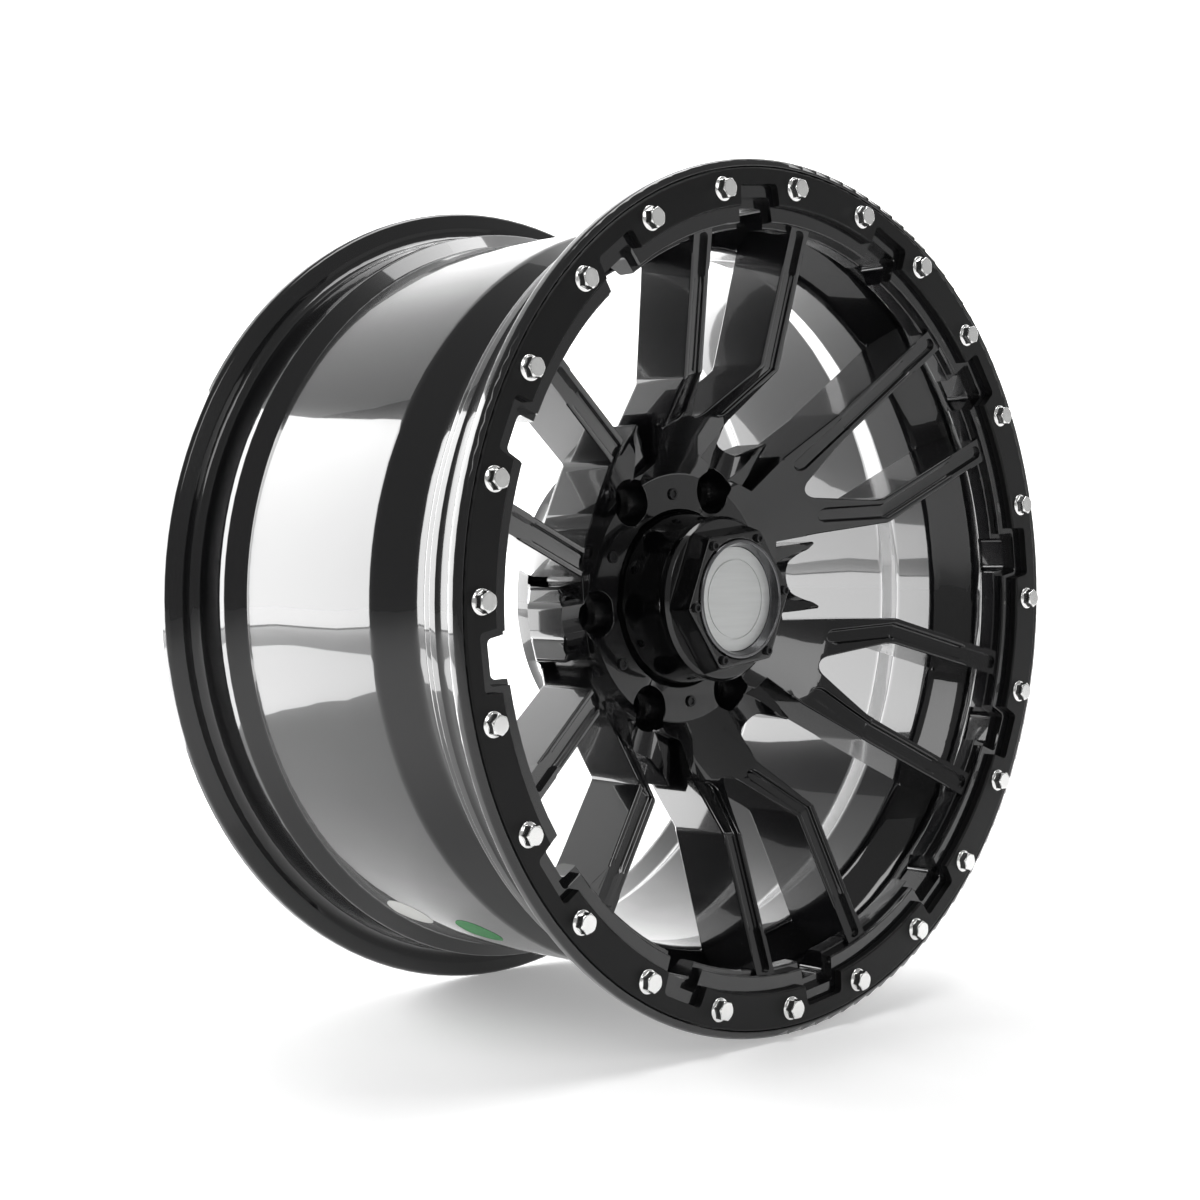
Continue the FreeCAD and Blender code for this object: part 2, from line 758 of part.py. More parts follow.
screw_axis = size("hub_screw_circle_r")
hub_screw_hole_y = size("hub_screw_length") + size("screw_floor")
hub_screw_cut = new_body("hub_screw_cut")
hub_screw_hole = revolve(hub_screw_cut, "hub_screw_hole", plain([
    (screw_axis, -bore_front_y - 5),
    (screw_axis + size("hub_screw_shank_r") + size("screw_clear"), -bore_front_y - 5),
    (screw_axis + size("hub_screw_shank_r") + size("screw_clear"), -(bore_front_y - hub_screw_hole_y)),
    (screw_axis, -(bore_front_y - hub_screw_hole_y)),
]), axis_x=screw_axis)
pattern(hub_screw_cut, "hub_screw_holes", [hub_screw_hole], size("spoke_count"))
turn(hub_screw_cut)

clip_y = size("bore_lip_y") - size("cap_flange_h") - size("clip_wire_r")
clip_groove_half = size("clip_wire_r") + size("clip_groove_clear")
clip_cut = new_body("clip_cut")
revolve(clip_cut, "clip_groove", plain([
    (bore_r - 2, -(clip_y + clip_groove_half)),
    (size("clip_ring_r") + clip_groove_half, -(clip_y + clip_groove_half)),
    (size("clip_ring_r") + clip_groove_half, -(clip_y - clip_groove_half)),
    (bore_r - 2, -(clip_y - clip_groove_half)),
]))

valve_cut = doc.addObject("Part::Cylinder", "valve_cut")
bind(valve_cut, "Radius", size("valve_r"))
bind(valve_cut, "Height", size("valve_length"))
valve_angle = SIZES["spoke_phase"] + 30.0
valve_tilt = FreeCAD.Rotation(FreeCAD.Vector(0, -1, 0), valve_angle).multiply(
    FreeCAD.Rotation(FreeCAD.Vector(0, 0, 1), SIZES["valve_tilt"])).multiply(
    FreeCAD.Rotation(FreeCAD.Vector(0, 0, 1), FreeCAD.Vector(1, 0, 0)))
valve_middle = FreeCAD.Rotation(FreeCAD.Vector(0, -1, 0), valve_angle).multVec(
    FreeCAD.Vector(SIZES["valve_point_r"], -SIZES["valve_point_y"], 0))
valve_start = valve_middle - valve_tilt.multVec(FreeCAD.Vector(0, 0, SIZES["valve_length"] / 2))
valve_cut.Placement = FreeCAD.Placement(valve_start, valve_tilt)

cutters = fuse("cutters", [
    channels, lug_cut, bolt_cut, land_notch, lip_notch, relief, hub_screw_cut, clip_cut, valve_cut,
])
troughs = boolean("Cut", "trimmed", casting, trough_plan)
wheel = boolean("Cut", "wheel", troughs, cutters)
wheel.Refine = True

# Trim ring on the front land, held by the flange bolts

ring_thick = size("ring_thick")
ring_face_y = land_y + ring_thick
trim_ring = new_body("trim_ring")
revolve(trim_ring, "ring_turn", [
    (size("ring_inner_r"), -land_y, None),
    (size("ring_inner_r"), -ring_face_y, size("ring_edge")),
    (size("ring_outer_r"), -ring_face_y, size("ring_edge")),
    (size("ring_outer_r"), -land_y, None),
])
ring_notch = new_sketch(trim_ring, "ring_notch_plan", "XZ_Plane")
draw_outline(ring_notch, notch_outline(
    size("ring_notch_r"), size("ring_notch_half"), size("ring_notch_round"), size("ring_inner_r") - 12))
ring_cut = trim_ring.newObject("PartDesign::Pocket", "ring_cut")
ring_cut.Profile = ring_notch
ring_cut.Reversed = True
ring_cut.Type = "ThroughAll"
ring_notch.Visibility = False
pattern(trim_ring, "ring_cuts", [ring_cut], size("notch_count"))
ring_drill = new_sketch(trim_ring, "ring_drill_plan", "XZ_Plane")
drill_at = polar(bolt_axis, size("bolt_offset"))
draw_circle(ring_drill, drill_at[0], drill_at[1], size("bolt_shank_r") + size("bolt_ring_clear"), "drill")
ring_hole = trim_ring.newObject("PartDesign::Pocket", "ring_hole")
ring_hole.Profile = ring_drill
ring_hole.Reversed = True
ring_hole.Type = "ThroughAll"
ring_drill.Visibility = False
pattern(trim_ring, "ring_holes", [ring_hole], size("bolt_count"))
turn(trim_ring)


def hexagon(centre_x, flats):
    """Hexagon with two flats facing along the wheel's radius."""
    corner = flats / 2 / cosine(Size.of(30))
    return [(centre_x + corner * cosine(Size.of(a)), corner * sine(Size.of(a)), None)
            for a in (30.0, 90.0, 150.0, 210.0, 270.0, 330.0)]


# Flange bolts: flanged hexagon heads with a chamfered crown

ring_bolts = new_body("ring_bolts")
bolt_seat_y = ring_face_y
bolt_flange_y = bolt_seat_y + size("bolt_flange_h")
bolt_top_y = bolt_flange_y + size("bolt_head_h")
bolt_flange_r = size("bolt_flange_r")
bolt_turn = revolve(ring_bolts, "bolt_turn", plain([
    (bolt_axis, -(land_y - size("bolt_bite"))),
    (bolt_axis + size("bolt_shank_r"), -(land_y - size("bolt_bite"))),
    (bolt_axis + size("bolt_shank_r"), -bolt_seat_y),
    (bolt_axis + bolt_flange_r, -bolt_seat_y),
    (bolt_axis + bolt_flange_r, -(bolt_seat_y + size("bolt_flange_h") / 2)),
    (bolt_axis + size("bolt_flats") / 2, -bolt_flange_y),
    (bolt_axis, -bolt_flange_y),
]), axis_x=bolt_axis)
bolt_hex = pad(ring_bolts, "bolt_hex", [hexagon(bolt_axis, size("bolt_flats"))],
               size("bolt_head_h") + size("bolt_flange_h") / 2, bolt_flange_y - size("bolt_flange_h") / 2)
bolt_flat_r = size("bolt_flats") / 2
bolt_chamfer = revolve(ring_bolts, "bolt_chamfer", plain([
    (bolt_axis + bolt_flat_r * 0.93, -bolt_top_y - 1),
    (bolt_axis + bolt_flat_r * 1.5, -bolt_top_y - 1),
    (bolt_axis + bolt_flat_r * 1.5, -(bolt_top_y - bolt_flat_r * 0.3)),
    (bolt_axis + bolt_flat_r * 0.93, -bolt_top_y),
]), axis_x=bolt_axis, groove=True)
pattern(ring_bolts, "bolt_group", [bolt_turn, bolt_hex, bolt_chamfer], size("bolt_count"))
turn(ring_bolts, size("bolt_offset"))

# Push-through cap: a skirted cup, a screwed crown, a bezel and a plain disc

skirt_r = lip_r - size("cap_clear")
shelf_y = size("bore_lip_y")
cap_wall = size("cap_wall")
cap_back_y = shelf_y - size("cap_flange_h")
deck_y = size("cap_deck_y")
deck_low_y = deck_y - size("cap_deck_thick")
boss_y = deck_y + size("cap_boss_h")
cap_body = new_body("cap_body")
revolve(cap_body, "cap_cup", [
    (bore_r - size("cap_flange_clear"), -cap_back_y, None),
    (bore_r - size("cap_flange_clear"), -shelf_y, None),
    (skirt_r, -shelf_y, None),
    (skirt_r, -size("cap_straight_y"), None),
    (size("cap_neck_r"), -size("cap_neck_y"), None),
    (size("cap_bead_r"), -size("cap_bead_y"), Size.of(0.8)),
    (size("cap_bead_r"), -(deck_y - 2), Size.of(0.8)),
    (size("cap_bead_r") - 2, -deck_y, None),
    ((size("disc_r") - size("cap_boss_step")), -deck_y, None),
    ((size("disc_r") - size("cap_boss_step")), -boss_y, None),
    (ZERO, -boss_y, None),
    (ZERO, -deck_low_y, None),
    (size("cap_neck_r") - cap_wall, -deck_low_y, None),
    (size("cap_neck_r") - cap_wall, -size("cap_neck_y"), None),
    (skirt_r - cap_wall, -size("cap_straight_y"), None),
    (skirt_r - cap_wall, -cap_back_y, None),
])
cap_screw_axis = size("cap_screw_circle_r")


def screw_drill(body, name, radius, length, start):
    """Round holes for the six cap screws, drilled from a plane at -start towards the cap's back."""
    sketch = new_sketch(body, name + "_plan", "XZ_Plane")
    sketch.AttachmentOffset = FreeCAD.Placement(FreeCAD.Vector(0, 0, start.value), FreeCAD.Rotation())
    sketch.setExpression("AttachmentOffset.Base.z", start.text)
    draw_circle(sketch, cap_screw_axis, ZERO, radius, "drill")
    feature = body.newObject("PartDesign::Pocket", name)
    feature.Profile = sketch
    bind(feature, "Length", length)
    sketch.Visibility = False
    return pattern(body, name + "s", [feature], size("lug_count"))


screw_hole_r = size("cap_screw_shank_r") + size("screw_clear")
screw_drill(cap_body, "deck_hole", screw_hole_r, size("cap_screw_bite") + size("screw_floor"), deck_y)
turn(cap_body, half_sector)

crown_y = deck_y + size("crown_h")
cap_crown = new_body("cap_crown")


def crown_hexagon(name, corner_r, start):
    """Hexagon of the crown, a corner over each screw, on a plane at -start."""
    sketch = new_sketch(cap_crown, name, "XZ_Plane")
    sketch.AttachmentOffset = FreeCAD.Placement(FreeCAD.Vector(0, 0, start.value), FreeCAD.Rotation())
    sketch.setExpression("AttachmentOffset.Base.z", start.text)
    corners = [polar(corner_r, Size.of(60.0 * corner)) + (size("crown_round"),) for corner in range(6)]
    draw_outline(sketch, corners)
    sketch.Visibility = False
    return sketch


crown_foot = crown_hexagon("crown_foot", size("crown_foot_r"), deck_y)
crown_top = crown_hexagon("crown_top", size("crown_top_r"), crown_y)
crown_loft = cap_crown.newObject("PartDesign::AdditiveLoft", "crown_loft")
crown_loft.Profile = crown_foot
crown_loft.Sections = [crown_top]
crown_loft.Ruled = True
crown_bore = new_sketch(cap_crown, "crown_bore_plan", "XZ_Plane")
draw_circle(crown_bore, ZERO, ZERO, size("bezel_outer_r") + size("bezel_gap"), "bore")
crown_open = cap_crown.newObject("PartDesign::Pocket", "crown_open")
crown_open.Profile = crown_bore
crown_open.Reversed = True
crown_open.Type = "ThroughAll"
crown_bore.Visibility = False
screw_drill(cap_crown, "crown_hole", screw_hole_r, size("crown_h"), crown_y)
turn(cap_crown, half_sector)

bezel_y = crown_y + size("bezel_proud")
cap_bezel = new_body("cap_bezel")
revolve(cap_bezel, "bezel_turn", [
    ((size("disc_r") + size("bezel_gap")), -deck_y, None),
    ((size("disc_r") + size("bezel_gap")), -(boss_y + size("disc_h") + 1), None),
    (size("bezel_outer_r") - 2.2, -bezel_y, Size.of(0.5)),
    (size("bezel_outer_r"), -bezel_y, Size.of(1.0)),
    (size("bezel_outer_r"), -deck_y, None),
])

disc_y = boss_y + size("disc_h")
groove_r = size("disc_groove_r")
groove_w = size("disc_groove_w")
cap_disc = new_body("cap_disc")
revolve(cap_disc, "disc_turn", plain([
    (ZERO, -boss_y),
    (size("disc_r"), -boss_y),
    (size("disc_r"), -disc_y),
    (groove_r + groove_w, -disc_y),
    (groove_r + groove_w, -(disc_y - size("disc_groove_h"))),
    (groove_r, -(disc_y - size("disc_groove_h"))),
    (groove_r, -disc_y),
    (ZERO, -disc_y),
]))


def socket_screws(name, axis_x, seat_y, head_r, head_h, shank_r, length, socket_r, socket_h, extra):
    """A ring of socket-head screws that share one node."""
    body = new_body(name)
    shape = revolve(body, name + "_turn", [
        (axis_x, -(seat_y - length), None),
        (axis_x + shank_r, -(seat_y - length), None),
        (axis_x + shank_r, -seat_y, None),
        (axis_x + head_r, -seat_y, None),
        (axis_x + head_r, -(seat_y + head_h), Size.of(0.4)),
        (axis_x, -(seat_y + head_h), None),
    ], axis_x=axis_x)
    sketch = new_sketch(body, name + "_socket_plan", "XZ_Plane")
    top = seat_y + head_h
    sketch.AttachmentOffset = FreeCAD.Placement(FreeCAD.Vector(0, 0, top.value), FreeCAD.Rotation())
    sketch.setExpression("AttachmentOffset.Base.z", top.text)
    draw_outline(sketch, hexagon(axis_x, socket_r * 2))
    socket = body.newObject("PartDesign::Pocket", name + "_socket")
    socket.Profile = sketch
    bind(socket, "Length", socket_h)
    sketch.Visibility = False
    pattern(body, name + "_group", [shape, socket], size("lug_count"))
    turn(body, extra)
    return body


cap_screws = socket_screws(
    "cap_screws", cap_screw_axis, crown_y, size("cap_screw_head_r"), size("cap_screw_head_h"),
    size("cap_screw_shank_r"), size("crown_h") + size("cap_screw_bite"),
    size("cap_screw_socket_r"), size("cap_screw_socket_h"), half_sector)
hub_screws = socket_screws(
    "hub_screws", screw_axis, bore_front_y, size("hub_screw_head_r"), size("hub_screw_head_h"),
    size("hub_screw_shank_r"), size("hub_screw_length"),
    size("hub_screw_socket_r"), size("hub_screw_socket_h"), ZERO)

# Wire clip that keeps the cap on its shelf

cap_clip = new_body("cap_clip")
clip_sketch = new_sketch(cap_clip, "clip_section", "XY_Plane")
draw_circle(clip_sketch, size("clip_ring_r"), -clip_y, size("clip_wire_r"), "wire")
clip_turn = cap_clip.newObject("PartDesign::Revolution", "clip_turn")
clip_turn.Profile = clip_sketch
clip_turn.ReferenceAxis = (clip_sketch, ["V_Axis"])
bind(clip_turn, "Angle", size("clip_sweep"))
clip_sketch.Visibility = False

doc.recompute()

NODES = [
    wheel, trim_ring, ring_bolts,
    cap_body, cap_crown, cap_bezel, cap_disc, cap_screws,
    hub_screws, cap_clip,
]
for item in doc.Objects:
    if "Invalid" in item.State or "Error" in item.State:
        raise RuntimeError("%s is %s" % (item.Name, item.State))
os.makedirs("parts", exist_ok=True)
for node in NODES:
    shape = node.Shape
    if shape.isNull() or not shape.isValid():
        raise RuntimeError("%s has no valid shape" % node.Name)
    node.Label = node.Name
    print(node.Name, len(shape.Solids), "solids", round(shape.Volume / 1000, 1), "cm3")
    shape.exportStep("parts/%s.step" % node.Name)
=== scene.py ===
import logging
import math
from dataclasses import dataclass, field
from enum import Enum

import bpy
from mathutils import Matrix, Vector


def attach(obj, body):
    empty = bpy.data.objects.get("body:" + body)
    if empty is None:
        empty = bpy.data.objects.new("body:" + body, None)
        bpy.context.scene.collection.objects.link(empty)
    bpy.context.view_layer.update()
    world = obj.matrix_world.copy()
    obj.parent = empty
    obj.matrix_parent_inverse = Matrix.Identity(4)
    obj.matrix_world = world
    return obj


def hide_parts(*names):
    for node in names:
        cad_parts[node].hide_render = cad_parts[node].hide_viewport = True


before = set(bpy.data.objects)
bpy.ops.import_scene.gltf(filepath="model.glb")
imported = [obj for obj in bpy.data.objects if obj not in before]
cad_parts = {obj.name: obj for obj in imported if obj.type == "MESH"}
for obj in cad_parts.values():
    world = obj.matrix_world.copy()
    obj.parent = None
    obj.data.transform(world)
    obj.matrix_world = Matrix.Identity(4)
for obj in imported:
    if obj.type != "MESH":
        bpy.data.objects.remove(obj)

log = logging.getLogger("alloy_wheel")
logging.basicConfig(level=logging.INFO, format="%(name)s: %(message)s")

MM = 0.001
INWARD = -1.0
WHITE = (1.0, 1.0, 1.0, 1.0)
Colour = tuple[float, float, float]
Xyz = tuple[float, float, float]


class Grain(Enum):
    """The surface texture that a finish carries."""

    LACQUER = "lacquer"
    POWDER = "powder"
    PLATED = "plated"
    BRUSHED = "brushed"
    MOULDED = "moulded"
    PAPER = "paper"


@dataclass(frozen=True)
class Finish:
    """One paint, plating, plastic or paper.

    Args:
        name: Material name.
        slot: Slot of the record that the finish belongs to; not used.
        colour: Linear base colour.
        grain: Texture of the surface.
        rough: Base roughness.
        metal: Metallic share.
        coat: Clear coat weight.
        coat_rough: Roughness of the clear coat.
        shine: Specular level under the coat.
    """

    name: str
    slot: str
    colour: Colour
    grain: Grain
    rough: float
    metal: float = 0.0
    coat: float = 0.0
    coat_rough: float = 0.03
    shine: float = 0.5


LACQUER = Finish(
    name="gloss_black_lacquer",
    slot="gloss_black_alloy",
    colour=(0.004, 0.004, 0.0045),
    grain=Grain.LACQUER,
    rough=0.2,
    coat=1.0,
    shine=0.15,
)
POWDER = Finish(
    name="satin_black_powder",
    slot="satin_black_ring",
    colour=(0.005, 0.005, 0.0052),
    grain=Grain.POWDER,
    rough=0.42,
    shine=0.2,
)
PLATED = Finish(
    name="bright_plating",
    slot="bright_bolts",
    colour=(0.86, 0.86, 0.85),
    grain=Grain.PLATED,
    rough=0.16,
    metal=1.0,
)
CAP_GLOSS = Finish(
    name="cap_gloss_black",
    slot="cap_black",
    colour=(0.004, 0.004, 0.0044),
    grain=Grain.MOULDED,
    rough=0.18,
    coat=0.8,
    shine=0.2,
)
SMOKED = Finish(
    name="smoked_bezel",
    slot="bezel_dark",
    colour=(0.16, 0.16, 0.165),
    grain=Grain.PLATED,
    rough=0.14,
    metal=0.9,
)
BRUSHED = Finish(
    name="brushed_silver",
    slot="disc_silver",
    colour=(0.62, 0.63, 0.625),
    grain=Grain.BRUSHED,
    rough=0.4,
    metal=0.6,
)
OXIDE = Finish(
    name="black_oxide",
    slot="screw_black",
    colour=(0.02, 0.02, 0.021),
    grain=Grain.PLATED,
    rough=0.32,
    metal=0.4,
)
SPRING = Finish(
    name="spring_steel",
    slot="spring_wire",
    colour=(0.42, 0.42, 0.42),
    grain=Grain.BRUSHED,
    rough=0.3,
    metal=1.0,
)
WHITE_PAPER = Finish(
    name="white_paper",
    slot="gloss_black_alloy",
    colour=(0.62, 0.62, 0.60),
    grain=Grain.PAPER,
    rough=0.55,
)
GREEN_PAPER = Finish(
    name="green_paper",
    slot="gloss_black_alloy",
    colour=(0.015, 0.20, 0.045),
    grain=Grain.PAPER,
    rough=0.5,
)

NODE_FINISHES: dict[str, Finish] = {
    "wheel": LACQUER,
    "trim_ring": POWDER,
    "ring_bolts": PLATED,
    "cap_body": CAP_GLOSS,
    "cap_crown": CAP_GLOSS,
    "cap_bezel": SMOKED,
    "cap_disc": BRUSHED,
    "cap_screws": OXIDE,
    "hub_screws": OXIDE,
    "cap_clip": SPRING,
}


class Sock:
    """A value in a node tree that can be added and multiplied like a number.

    Args:
        sheet: The node sheet that the value belongs to.
        socket: The socket that gives the value.
    """

    def __init__(self, sheet: "NodeSheet", socket: bpy.types.NodeSocket) -> None:
        """Keep the sheet and the socket."""
        self.sheet = sheet
        self.socket = socket

    def maths(self, operation: str, first: "Sock | float", second: "Sock | float") -> "Sock":
        """Join two values in a math node.

        Args:
            operation: Name of the operation.
            first: First value.
            second: Second value.

        Returns:
            The result.
        """
        return self.sheet.add("ShaderNodeMath", {"operation": operation}, {0: first, 1: second})

    def __add__(self, other: "Sock | float") -> "Sock":
        """Sum of two values."""
        return self.maths("ADD", self, other)

    def __radd__(self, other: float) -> "Sock":
        """Sum of a number and this value."""
        return self.maths("ADD", other, self)

    def __mul__(self, other: "Sock | float") -> "Sock":
        """Product of two values."""
        return self.maths("MULTIPLY", self, other)

    def __rmul__(self, other: float) -> "Sock":
        """Product of a number and this value."""
        return self.maths("MULTIPLY", other, self)

    def between(self, low: float, high: float) -> "Sock":
        """Spread a value of 0 to 1 from low to high.

        Args:
            low: Result at 0.
            high: Result at 1.

        Returns:
            The spread value.
        """
        return self * (high - low) + low


class NodeSheet:
    """A material's node tree.

    Args:
        tree: The tree to add nodes to.
    """

    def __init__(self, tree: bpy.types.NodeTree) -> None:
        """Keep the tree."""
        self.tree = tree

    def add(self, kind: str, settings: dict, inputs: dict, output: str | int = 0) -> Sock:
        """Add one node.

        Args:
            kind: Type of the node.
            settings: Properties set before anything is linked.
            inputs: Value or link of each input, by name or number.
            output: Name or number of the output that is wanted.

        Returns:
            The output.
        """
        node = self.tree.nodes.new(kind)
        for name, value in settings.items():
            setattr(node, name, value)
        for name, value in inputs.items():
            if isinstance(value, Sock):
                self.tree.links.new(value.socket, node.inputs[name])
            else:
                node.inputs[name].default_value = value
        return Sock(self, node.outputs[output])

    def place(self) -> Sock:
        """Object coordinates."""
        return self.add("ShaderNodeTexCoord", {}, {}, "Object")

    def noise(self, scale: float, detail: float, stretch: Xyz = (1.0, 1.0, 1.0)) -> Sock:
        """Noise on object coordinates.

        Args:
            scale: Cells per metre.
            detail: Octaves.
            stretch: Scale along each axis before the noise.

        Returns:
            The noise from 0 to 1.
        """
        mapped = self.add("ShaderNodeMapping", {}, {"Vector": self.place(), "Scale": stretch})
        inputs = {"Vector": mapped, "Scale": scale, "Detail": detail}
        return self.add("ShaderNodeTexNoise", {}, inputs, "Fac")

    def cells(self, scale: float) -> Sock:
        """Distance to the nearest of scattered points.

        Args:
            scale: Points per metre.

        Returns:
            The distance.
        """
        inputs = {"Vector": self.place(), "Scale": scale}
        return self.add("ShaderNodeTexVoronoi", {}, inputs, "Distance")


class Paint:
    """Builds the material of one finish.

    Args:
        finish: The finish to build.
    """

    def __init__(self, finish: Finish) -> None:
        """Make the material and set what is the same all over it."""
        self.finish = finish
        self.material = bpy.data.materials.new(finish.name)
        self.material.use_nodes = True
        self.shader = self.material.node_tree.nodes["Principled BSDF"]
        self.sheet = NodeSheet(self.material.node_tree)
        self.shader.inputs["Base Color"].default_value = (*finish.colour, 1.0)
        self.shader.inputs["Metallic"].default_value = finish.metal
        self.shader.inputs["Coat Weight"].default_value = finish.coat
        self.shader.inputs["Coat Roughness"].default_value = finish.coat_rough
        self.shader.inputs["Specular IOR Level"].default_value = finish.shine

    def plug(self, value: Sock, name: str) -> None:
        """Link a value to an input of the shader.

        Args:
            value: The value.
            name: Name of the input.
        """
        self.sheet.tree.links.new(value.socket, self.shader.inputs[name])

    def roughen(self, amount: Sock, spread: float) -> None:
        """Vary the roughness about the finish's own.

        Args:
            amount: Value from 0 to 1.
            spread: Half of the change.
        """
        smoothest = self.finish.rough - spread
        roughest = self.finish.rough + spread
        self.plug(amount.between(smoothest, roughest), "Roughness")

    def tint(self, amount: Sock, low: float, high: float) -> None:
        """Vary the base colour between two strengths of the finish's own colour.

        Args:
            amount: Value from 0 to 1.
            low: Strength at 0.
            high: Strength at 1.
        """
        colour = Vector(self.finish.colour)
        inputs = {"Factor": amount, "A": (*(colour * low), 1.0), "B": (*(colour * high), 1.0)}
        mixed = self.sheet.add("ShaderNodeMix", {"data_type": "RGBA"}, inputs, "Result")
        self.plug(mixed, "Base Color")

    def bump(self, height: Sock, strength: float, depth: float) -> None:
        """Raise the surface by a height.

        Args:
            height: Height from 0 to 1.
            strength: Strength of the effect.
            depth: Height in metres at 1.
        """
        inputs = {"Height": height, "Strength": strength, "Distance": depth}
        self.plug(self.sheet.add("ShaderNodeBump", {}, inputs, "Normal"), "Normal")

    def build(self) -> bpy.types.Material:
        """Add the finish's grain.

        Returns:
            The material.
        """
        grains = {
            Grain.LACQUER: self.lacquer,
            Grain.POWDER: self.powder,
            Grain.PLATED: self.plated,
            Grain.BRUSHED: self.brushed,
            Grain.MOULDED: self.moulded,
            Grain.PAPER: self.paper,
        }
        grains[self.finish.grain]()
        return self.material

    def lacquer(self) -> None:
        """Sprayed gloss: fine orange peel, flake under the clear coat and a thin uneven film of dust."""
        flake_share = 0.4
        peel = self.sheet.noise(scale=650.0, detail=2.0)
        flake = self.sheet.cells(scale=5200.0)
        film = self.sheet.noise(scale=16.0, detail=5.0)
        self.roughen(film, spread=0.06)
        self.tint(film * (1.0 - flake_share) + flake * flake_share, low=0.7, high=1.4)
        self.bump(peel, strength=0.05, depth=0.4 * MM)

    def powder(self) -> None:
        """Powder coat: a dry, even grit."""
        grit_share = 0.3
        grit = self.sheet.noise(scale=2600.0, detail=2.0)
        cloud = self.sheet.noise(scale=28.0, detail=4.0)
        self.roughen(cloud * (1.0 - grit_share) + grit * grit_share, spread=0.06)
        self.tint(cloud, low=0.8, high=1.2)
        self.bump(grit, strength=0.22, depth=0.2 * MM)

    def plated(self) -> None:
        """Plating: tool smears and slight ripples."""
        smear = self.sheet.noise(scale=170.0, detail=3.0)
        ripple = self.sheet.noise(scale=1500.0, detail=2.0)
        self.roughen(smear, spread=0.07)
        self.tint(smear, low=0.88, high=1.06)
        self.bump(ripple, strength=0.05, depth=0.2 * MM)

    def brushed(self) -> None:
        """Brushed metal: long fine lines."""
        lines = self.sheet.noise(scale=480.0, detail=4.0, stretch=(0.05, 1.0, 1.0))
        self.roughen(lines, spread=0.09)
        self.tint(lines, low=0.9, high=1.07)
        self.bump(lines, strength=0.12, depth=0.1 * MM)

    def moulded(self) -> None:
        """Moulded plastic: soft flow marks and a faint sink."""
        flow = self.sheet.noise(scale=40.0, detail=3.0)
        sink = self.sheet.noise(scale=1100.0, detail=2.0)
        self.roughen(flow, spread=0.05)
        self.tint(flow, low=0.8, high=1.25)
        self.bump(sink, strength=0.07, depth=0.3 * MM)

    def paper(self) -> None:
        """Label paper: fibres."""
        fibre = self.sheet.noise(scale=700.0, detail=5.0)
        self.roughen(fibre, spread=0.07)
        self.tint(fibre, low=0.88, high=1.06)
        self.bump(fibre, strength=0.15, depth=0.1 * MM)


def stand(place: Vector, facing: Vector) -> Matrix:
    """Matrix that puts a flat piece at a place, facing a direction."""
    return Matrix.Translation(place) @ facing.to_track_quat("Z", "Y").to_matrix().to_4x4()


class PaintShelf:
    """Makes each finish once and hands it out."""

    def __init__(self) -> None:
        """Start with no finish made."""
        self.made: dict[str, bpy.types.Material] = {}

    def coat(self, piece: bpy.types.Object, finish: Finish) -> None:
        """Give a piece one finish.

        Args:
            piece: The piece.
            finish: Its finish.
        """
        if finish.name not in self.made:
            self.made[finish.name] = Paint(finish).build()
        piece.data.materials.clear()
        piece.data.materials.append(self.made[finish.name])
        log.info("%s takes %s", piece.name, finish.name)


@dataclass(frozen=True)
class EdgeZone:
    """A part of the casting whose sharp edges are rounded alike.

    Args:
        inner: Distance from the axis at which the zone starts, in metres.
        outer: Distance from the axis at which it ends, in metres.
        deepest: Largest Y in the zone, in metres.
        width: Width of the rounding in metres.
        steps: Segments across the rounding.
    """

    inner: float
    outer: float
    deepest: float
    width: float
    steps: int

    def holds(self, point: Vector) -> bool:
        """Say whether a point lies in the zone."""
        away = math.hypot(point.x, point.z)
        return self.inner <= away <= self.outer and point.y <= self.deepest


